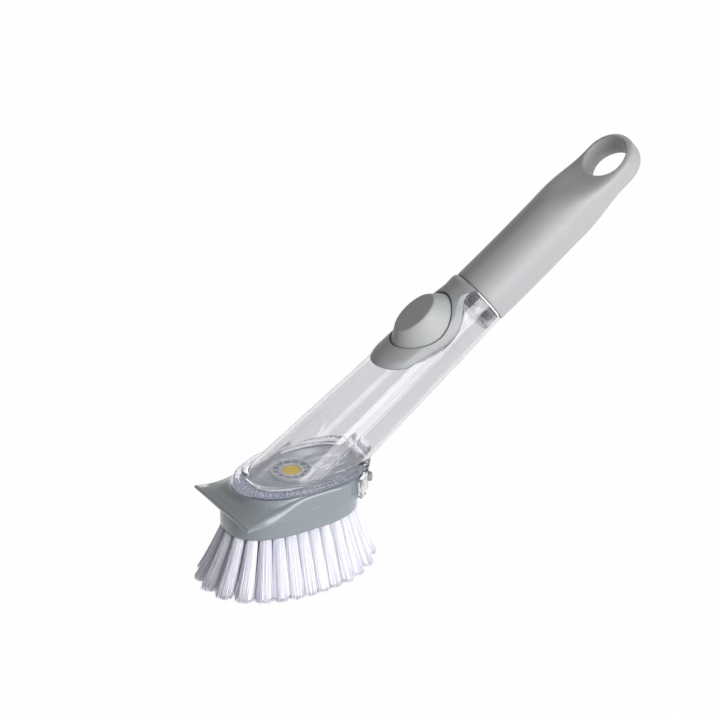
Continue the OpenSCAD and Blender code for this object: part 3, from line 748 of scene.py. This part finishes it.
FOLDS = 4
RISE = (BUTTON_TOP - BUTTON_WALL - 1.1 - TRAY_FLOOR - 0.9) / (2 * FOLDS)
base_h = TRAY_FLOOR + 0.05
fold = [(base_h + 0.8 + RISE * i, (6.8 if i % 2 == 0 else 5.6) - 0.17 * i) for i in range(2 * FOLDS + 1)]
bellows_profile = [(base_h, 5.4), (base_h, 8.6), (base_h + 0.8, 8.6)] + fold + [(fold[-1][0], 0.05), (fold[-1][0] - 0.7, 0.05)]
bellows_profile += [(h, r - 0.8) for h, r in fold[::-1]]
bellows_profile[-2 * FOLDS - 1] = (fold[-1][0] - 0.7, fold[-1][1] - 0.8)
bellows = piece("bellows", turned(rounded(bellows_profile, 0.35), over_tray, 64), WHITE_RUBBER, "reservoir", ["pump_bellows"], sharp=60)
piece("clamp_ring", turned(rounded([(TRAY_FLOOR + 0.95, 7.4), (TRAY_FLOOR + 0.95, 9), (TRAY_FLOOR + 2.15, 9),
                                    (TRAY_FLOOR + 2.15, 7.4)]), over_tray), GREY_NECK, "reservoir", ["bellows_ring"])
mushroom = rounded([(TRAY_Z - 0.9, 0.05), (TRAY_Z - 0.9, 3.2), (TRAY_Z - 0.05, 3.2), (TRAY_Z - 0.05, 1.3), (TRAY_FLOOR + 0.05, 1.3),
                    (TRAY_FLOOR + 0.05, 1.9), (TRAY_FLOOR + 0.7, 1.7), (TRAY_FLOOR + 0.7, 0.05)], 0.25)
piece("mushroom_valve", turned(mushroom, over_tray, 48), WHITE_RUBBER, "reservoir", ["air_valve"])


def spring_mesh():
    """Helix of round wire: six turns of 3.2 mm mean radius."""
    t = np.linspace(0, 12 * math.pi, 300)[:, None]
    q = np.linspace(0, 2 * math.pi, 10, endpoint=False)
    r = 3.2 + 0.4 * np.cos(q)
    h = TRAY_FLOOR + 0.5 + 12.4 * t / (12 * math.pi) + 0.4 * np.sin(q)
    mesh = grid(on_wand(BUTTON_S + r * np.cos(t), r * np.sin(t), h))
    return mesh, [list(range(10)), list(range(2990, 3000))]


STEEL = plastic("spring_steel", srgb(190, 191, 192), rough=0.28, Metallic=1.0)
spring_points, spring_ends = spring_mesh()
spring = piece("return_spring", spring_points, STEEL, "reservoir", ["button_spring"], caps=spring_ends)
for soft in (bellows, spring):
    anchor = on_wand(BUTTON_S, 0, base_h) * MM
    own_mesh(soft)


# The brush head's shell: a glossy blue-grey moulding. Its top is dished in front down to the
# straight scraper edge, and its rear corners hold two sprung catches.

SEAM_Z = 38
HEAD_X = -1.5
BLOCK = (35.2, 20.4)
BLOCK_POWER = 2.6
CROWN_X = 2.1
CREST = (39.2, 20.8, 0.45)
SOFT_R = 4.5
LEAF_BACK, LEAF_FRONT = -4.4, 0.9


def oval_toward(a, b, power, angle):
    """Point of a superellipse in the direction of an angle."""
    k = (np.abs(np.cos(angle) / a) ** power + np.abs(np.sin(angle) / b) ** power) ** (-1 / power)
    return np.stack([k * np.cos(angle), k * np.sin(angle)], -1)


def soften(rows, radius, steps=5):
    """Profile corners of many sections at once, each replaced by a curve. Rows is (corners, sections, 3)."""
    out = [rows[0]]
    for a, q, b in zip(rows[:-2], rows[1:-1], rows[2:]):
        da, db = a - q, b - q
        la, lb = np.linalg.norm(da, axis=1, keepdims=True), np.linalg.norm(db, axis=1, keepdims=True)
        da, db = da / la * np.minimum(radius, la * 0.45), db / lb * np.minimum(radius, lb * 0.45)
        out += [q + da * (1 - t) ** 2 + db * t * t for t in np.linspace(0, 1, steps)]
    return out + [rows[-1]]


def shell_mesh():
    """Sections round the plan: up from the seam, out to the skirt and up its edge, then in to the crown.
    That last part is hollow, 1 - (1 - t^1.8)^0.62. A low crest, shaped like a bell curve, follows an
    oval from the flanks to the middle of the scraper and sets the corners off as wings."""
    plan = head_outline(40)
    x, y = plan[:, 0], plan[:, 1]
    under = oval_toward(BLOCK[0] + 0.2, BLOCK[1] + 0.2, BLOCK_POWER, np.arctan2(y, x - HEAD_X)) + [HEAD_X, 0]
    crown = oval_toward(REAR_X - CROWN_X, FLANGE[1] - 0.2, OVAL_POWER, np.arctan2(y, x - CROWN_X)) + [CROWN_X, 0]
    low = SEAM_Z + 3.5 * (np.maximum(0, 18 - x) / (18 + SCRAPER_X)) ** 1.5
    high = low + 1.6 + (HEAD_TOP - 2.2 - low) * ease((x + 33) / 34)
    top = HEAD_TOP - 0.1
    convex = 0.6 * ease((x + 22) / 20)

    def slope(t):
        q = plan + t * (crown - plan)
        rise = (1 - convex) * (1 - (1 - t ** 1.8) ** 0.62) + convex * math.sin(math.pi * t / 2)
        oval_r = (np.abs((q[:, 0] - HEAD_X) / CREST[0]) ** 2.4 + np.abs(q[:, 1] / CREST[1]) ** 2.4) ** (1 / 2.4)
        crest = CREST[2] * np.exp(-((oval_r - 0.98) / 0.16) ** 2) * ease((2 - q[:, 0]) / 16) * (1 - t ** 4)
        return on_head(q[:, 0], q[:, 1], high + rise * (top - high) + crest)

    rows = [on_head(under[:, 0], under[:, 1], SEAM_Z), on_head(x, y, low), on_head(x, y, high), slope(0.1)]
    rows = soften(rows, 0.7)
    rows += [slope(t) for t in np.sin(np.linspace(0.13, math.pi / 2, 20)) if t > 0.1]
    rows = np.array(rows)
    wall = np.linspace(0, 1, 9)[1:-1, None, None]
    rows = np.concatenate([rows[:6], rows[5] + (rows[6] - rows[5]) * wall, rows[6:]])
    share = 0.9 * ease((x + SCRAPER_X - 2) / 14)[:, None]
    for _ in range(40):
        rows[8:-1] += share * ((rows[7:-2] + rows[9:]) / 2 - rows[8:-1])
    plan_x, plan_y, height = (rows[..., k] for k in range(3))
    area = (np.hypot(np.gradient(plan_x, axis=0), np.gradient(plan_y, axis=0))
            * np.hypot(np.gradient(plan_x, axis=1), np.gradient(plan_y, axis=1)))
    area[:8] = 0
    soft = height.copy()
    for k in range(9, len(rows) - 1):
        away = np.hypot(plan_x[k][:, None] - plan_x.ravel(), plan_y[k][:, None] - plan_y.ravel())
        near = area.ravel() * np.exp(-(away / SOFT_R) ** 2)
        soft[k] = near @ height.ravel() / near.sum(1)
    inside = np.hypot(plan_x - plan_x[7], plan_y - plan_y[7])
    ahead = ease((2 - (plan_x - VALVE_X)) / 14)
    rise = 1 - (np.arange(len(rows)) / (len(rows) - 1)) ** 6
    height += ease((inside - 0.6) / 4) * ahead * rise[:, None] * (soft - height)
    mesh = grid(rows)
    k = len(plan)
    return mesh, [list(range(k)), list(range(len(mesh[0]) - k, len(mesh[0])))]


HEAD_GREY = plastic("head_grey", srgb(112, 120, 125), rough=0.24, cloud=0.04, grain=0.3, bump=0.05, Coat_Weight=0.6, Coat_Roughness=0.08)
shell_grid, shell_caps = shell_mesh()
shell = piece("shell", shell_grid, HEAD_GREY, None, caps=shell_caps)
combine(shell, solid(*prism(oval(4.4, 4.4, 2), SEAM_Z + 3, 60, on_head)), "DIFFERENCE")
combine(shell, solid(*prism(oval(7.1, 7.1, 2), HEAD_TOP - 0.9, 60, on_head)), "DIFFERENCE")
for side in (-1, 1):
    catch = snap_frame(side)
    hole = prism(oval(2.46, 2.46, 2, 48), -6, 20, lambda y, z, x, catch=catch: catch(x, y, z))
    combine(shell, solid(*hole), "DIFFERENCE")
shell = finish_cut(shell)
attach(shell, "head")
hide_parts("head_shell")
piece("port_washer", turned(rounded([(-0.85, 4.6), (-0.85, 7), (-0.1, 7), (-0.1, 4.6)]), over_valve), WHITE_RUBBER, "head", ["port_seal"])
for side, node in ((1, "snap_button_left"), (-1, "snap_button_right")):
    catch = snap_frame(side)
    nub = rounded([(1, 0.05), (1, 2.9), (1.9, 2.9), (1.9, 2.4), (8.4, 2.4), (9.1, 2.1), (9.4, 1.2), (9.5, 0.05)], 0.3)
    piece(node + "_nub", turned(nub, lambda x, y, z, catch=catch: catch(x, y, z), 48), GREY_NECK,
          node.replace("_button", ""), [node])
    leaf = solid(*block(LEAF_BACK, LEAF_FRONT, -2.2, 2.2, -1.3, 1.3, catch))
    combine(leaf, solid(*block(LEAF_BACK + 0.4, LEAF_FRONT - 0.4, -3, 1.8, -3, 3, catch)), "DIFFERENCE")
    leaf = finish_cut(leaf)
    leaf.name = node + "_leaf"
    leaf.data.materials[0] = STEEL
    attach(leaf, "head")
    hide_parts(node.replace("button", "spring"))
    back, front = catch(LEAF_BACK, 0, 0), catch(LEAF_FRONT, 0, 0)
    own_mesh(leaf)


# The bristle block: the same blue-grey plastic, an oval slab under the shell with a rounded lower
# edge. Its underside is drilled for the tufts, which steel staples hold.

BLOCK_Z = 28.5
TUFT_COUNTS = (26, 12, 6)
ROOT_R = 2.6
TIP_R = 4.3
TUFT_OVALS = ((31.5, 17), (21.5, 10.5), (11, 4))
SPLAY_X, SPLAY_END, SPLAY_Y, TIP_SHIFT = 1.12, 0.22, 1.66, -2


def at_block(x, y, z):
    return on_head(np.asarray(x) + HEAD_X, y, z)


def tuft_middles():
    """Tufts at equal steps along three ovals."""
    spots = []
    for count, (a, b) in zip(TUFT_COUNTS, TUFT_OVALS):
        plan = oval(a, b, OVAL_POWER, 960)
        plan = np.concatenate([plan, plan[:1]])
        run = np.concatenate([[0], np.cumsum(np.linalg.norm(np.diff(plan, axis=0), axis=1))])
        want = run[-1] * np.arange(count) / count
        spots.append(np.stack([np.interp(want, run, plan[:, 0]), np.interp(want, run, plan[:, 1])], -1))
    return np.concatenate(spots)


TUFTS = tuft_middles()
slab = solid(*prism(oval(*BLOCK, BLOCK_POWER), BLOCK_Z, SEAM_Z + 0.05, at_block, 1.2, 0.2))
slab.data.materials[0] = HEAD_GREY
for x, y in TUFTS:
    combine(slab, solid(*prism(oval(ROOT_R + 0.15, ROOT_R + 0.15, 2, 20) + [x, y], BLOCK_Z - 1, BLOCK_Z + 5, at_block)), "DIFFERENCE")
slab = finish_cut(slab)
slab.name = "brush_block"
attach(slab, "head")
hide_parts("bristle_block")
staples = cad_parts["tuft_staples"]
staples.data.materials.clear()
staples.data.materials.append(STEEL)


# The bristles: white nylon, in 44 tufts that splay outwards and are trimmed level. Each strand is
# a three-sided filament with its own lean, and the tips fan out and touch their neighbours'.

STRANDS = 120
STRAND_R = 0.22
SIDES = 3
JOINTS = 5


def bristle_mesh():
    """Each strand leaves its tuft's hole and leans out by f (0.8 + 0.2 f) of its splay, where f runs
    down its length, plus a small bow of its own. The close-packed middle of each tuft is one fluted
    cone, in which the outer strands are half sunk. Returns the faces, and the loops that close the ends."""
    rng = np.random.default_rng(11)
    count = len(TUFTS) * STRANDS
    middle = np.repeat(TUFTS, STRANDS, axis=0)
    golden = np.tile(np.arange(STRANDS), len(TUFTS))
    r, a = np.minimum(1, 1.25 * np.sqrt((golden + 0.5) / STRANDS)), golden * 2.39996 + np.repeat(rng.uniform(0, 6.28, len(TUFTS)), STRANDS)
    spot = np.stack([r * np.cos(a), r * np.sin(a)], -1)
    reach = np.abs(middle[:, 0]) * (SPLAY_X + SPLAY_END * (middle[:, 0] / TUFT_OVALS[0][0]) ** 2)
    tip = np.stack([TIP_SHIFT + np.sign(middle[:, 0]) * reach, middle[:, 1] * SPLAY_Y], -1)
    base = middle + ROOT_R * spot
    tip = tip + TIP_R * spot + rng.normal(0, 0.3, (count, 2))
    length = BLOCK_Z + 2 - np.abs(rng.normal(0, 0.25, count))
    bow = rng.normal(0, 0.12, (count, 2))
    f = np.linspace(0, 1, JOINTS)[:, None, None]
    centre = base + f * (0.8 + 0.2 * f) * (tip - base) + np.sin(math.pi * f) * bow
    z = BLOCK_Z + 2 - f[..., 0] * length
    q = np.linspace(0, 2 * math.pi, SIDES, endpoint=False)
    x = centre[..., :1] + STRAND_R * np.cos(q)
    y = centre[..., 1:] + STRAND_R * np.sin(q)
    points = at_block(x, y, np.broadcast_to(z[..., None], x.shape)).transpose(1, 0, 2, 3)
    sides = grid(points[0])[1]
    first = SIDES * JOINTS * np.arange(count)[:, None, None]
    faces = (sides[None] + first).reshape(-1, 4)
    ends = np.arange(SIDES)[None] + np.array([[0], [SIDES * (JOINTS - 1)]])
    return (points.reshape(-1, 3), faces), (ends[None] + first).reshape(-1, SIDES).tolist()


def core_mesh():
    """The cones: rings of 60 points about each tuft's own line, with 5 broad and 17 fine flutes."""
    grids, caps, count = [], [], 0
    q = np.linspace(0, 2 * math.pi, 60, endpoint=False)
    f = np.linspace(0.02, 0.95, 7)[:, None]
    for k, (x, y) in enumerate(TUFTS):
        reach = abs(x) * (SPLAY_X + SPLAY_END * (x / TUFT_OVALS[0][0]) ** 2)
        tip_x, tip_y = TIP_SHIFT + np.sign(x) * reach, y * SPLAY_Y
        lean = f * (0.8 + 0.2 * f)
        r = (ROOT_R + lean * (TIP_R - ROOT_R)) * (1 + 0.025 * np.sin(5 * q + k) + 0.02 * np.sin(17 * q + 2 * k))
        cone = grid(at_block(x + lean * (tip_x - x) + r * np.cos(q), y + lean * (tip_y - y) + r * np.sin(q),
                             BLOCK_Z + 2 - f * (BLOCK_Z + 2) + 0 * q))
        caps += [list(range(count, count + 60)), list(range(count + 360, count + 420))]
        grids.append(cone)
        count += 420
    return join_grids(*grids), caps


NYLON = plastic("nylon", srgb(238, 238, 248), rough=0.5, cloud=0.06, size=700.0, grain=0.2, scuffs=0.0,
                Subsurface_Weight=1.0, Subsurface_Scale=1.0, Subsurface_Radius=(0.0015, 0.0015, 0.0016))
FIBRE = plastic("nylon_fibre", srgb(228, 228, 240), rough=0.5, cloud=0.06, size=700.0, grain=0.2, scuffs=0.0)
strands, strand_ends = bristle_mesh()
piece("nylon_bristles", strands, FIBRE, "head", ["bristles"], caps=strand_ends, sharp=180)
cores, core_ends = core_mesh()
piece("bristle_cores", cores, NYLON, "head", ["bristles"], caps=core_ends, sharp=50)


# The photograph's view: a very long lens, 31 degrees round from the wand's side and 30 degrees up,
# over a plain white floor, with a broad soft light from the right and a low fill. The floor lies
# lower than the bristles by the travel of the brush head, so that it is clear at every pose.

FRAME_MM = 720 / 2.06
LENS = 800
FLOOR_Z = -31
azimuth, elevation = math.radians(-31), math.radians(30)
look = np.array([-math.sin(azimuth) * math.cos(elevation), math.cos(azimuth) * math.cos(elevation), -math.sin(elevation)])
right = np.array([math.cos(azimuth), math.sin(azimuth), 0])
up = np.cross(right, look)
valve = np.array([VALVE_X, 0, FOOT_Z])
target = valve + right * (360 - 291.3) / 2.06 + up * (470.8 - 360) / 2.06
distance = FRAME_MM * LENS / 36
camera_data = bpy.data.cameras.new("camera")
camera_data.lens = LENS
camera_data.sensor_width = 36
camera_data.clip_end = 100
camera = bpy.data.objects.new("camera", camera_data)
camera.location = (target - look * distance) * MM
camera.rotation_euler = Vector(look).to_track_quat("-Z", "Y").to_euler()
bpy.context.scene.collection.objects.link(camera)
bpy.context.scene.camera = camera
bpy.context.scene.view_settings.view_transform = "Standard"


def lamp(name, place, aim, size, power, colour=(1, 1, 1)):
    """Soft rectangular lamp at a place in metres, turned to what it lights."""
    data = bpy.data.lights.new(name, "AREA")
    data.shape = "RECTANGLE"
    data.size, data.size_y = size
    data.energy = power
    data.color = colour
    obj = bpy.data.objects.new(name, data)
    obj.location = place
    obj.rotation_euler = (Vector(aim) - Vector(place)).to_track_quat("-Z", "Y").to_euler()
    bpy.context.scene.collection.objects.link(obj)


for size, power in ((0.7, 9), (1.0, 17), (1.3, 24)):
    lamp("key", (0.35, -1.5, 0.45), (0, 0, 0.09), (size, size * 1.2), power)
lamp("back", (0.8, 1.5, 0.9), (0, 0, 0.06), (0.5, 0.4), 3)

floor_data = bpy.data.meshes.new("floor")
floor_data.from_pydata([(x, y, FLOOR_Z * MM) for x, y in ((-6, -6), (6, -6), (6, 6), (-6, 6))], [], [(0, 1, 2, 3)])
floor = bpy.data.objects.new("floor", floor_data)
bpy.context.scene.collection.objects.link(floor)
white = bpy.data.materials.new("white_floor")
white.use_nodes = True
nodes, link = white.node_tree.nodes, white.node_tree.links.new
path, glow, mix = nodes.new("ShaderNodeLightPath"), nodes.new("ShaderNodeEmission"), nodes.new("ShaderNodeMixShader")
nodes["Principled BSDF"].inputs["Base Color"].default_value = (0.9, 0.9, 0.9, 1)
nodes["Principled BSDF"].inputs["Roughness"].default_value = 0.9
nodes["Principled BSDF"].inputs["Specular IOR Level"].default_value = 0
seen = nodes.new("ShaderNodeMath")
seen.operation = "MAXIMUM"
seen_all = nodes.new("ShaderNodeMath")
seen_all.operation = "MAXIMUM"
share = nodes.new("ShaderNodeMath")
share.operation = "MULTIPLY"
share.inputs[1].default_value = 0.985
link(path.outputs["Is Camera Ray"], seen.inputs[0])
link(path.outputs["Is Glossy Ray"], seen.inputs[1])
link(seen.outputs[0], seen_all.inputs[0])
link(path.outputs["Is Transmission Ray"], seen_all.inputs[1])
link(seen_all.outputs[0], share.inputs[0])
link(share.outputs[0], mix.inputs[0])
link(nodes["Principled BSDF"].outputs[0], mix.inputs[1])
link(glow.outputs[0], mix.inputs[2])
link(mix.outputs[0], nodes["Material Output"].inputs["Surface"])
floor_data.materials.append(white)

world = bpy.data.worlds.new("studio")
bpy.context.scene.world = world
world.use_nodes = True
nodes, link = world.node_tree.nodes, world.node_tree.links.new
path, plain = nodes.new("ShaderNodeLightPath"), nodes["Background"]
bright, mix = nodes.new("ShaderNodeBackground"), nodes.new("ShaderNodeMixShader")
plain.inputs["Color"].default_value = (1, 1, 1, 1)
plain.inputs["Strength"].default_value = 0.28
bright.inputs["Strength"].default_value = 1
bright.inputs["Color"].default_value = (1, 1, 1, 1)
seen, seen_all = nodes.new("ShaderNodeMath"), nodes.new("ShaderNodeMath")
seen.operation = seen_all.operation = "MAXIMUM"
link(path.outputs["Is Camera Ray"], seen.inputs[0])
link(path.outputs["Is Glossy Ray"], seen.inputs[1])
link(seen.outputs[0], seen_all.inputs[0])
link(path.outputs["Is Transmission Ray"], seen_all.inputs[1])
link(seen_all.outputs[0], mix.inputs[0])
link(plain.outputs[0], mix.inputs[1])
link(bright.outputs[0], mix.inputs[2])
link(mix.outputs[0], nodes["World Output"].inputs["Surface"])
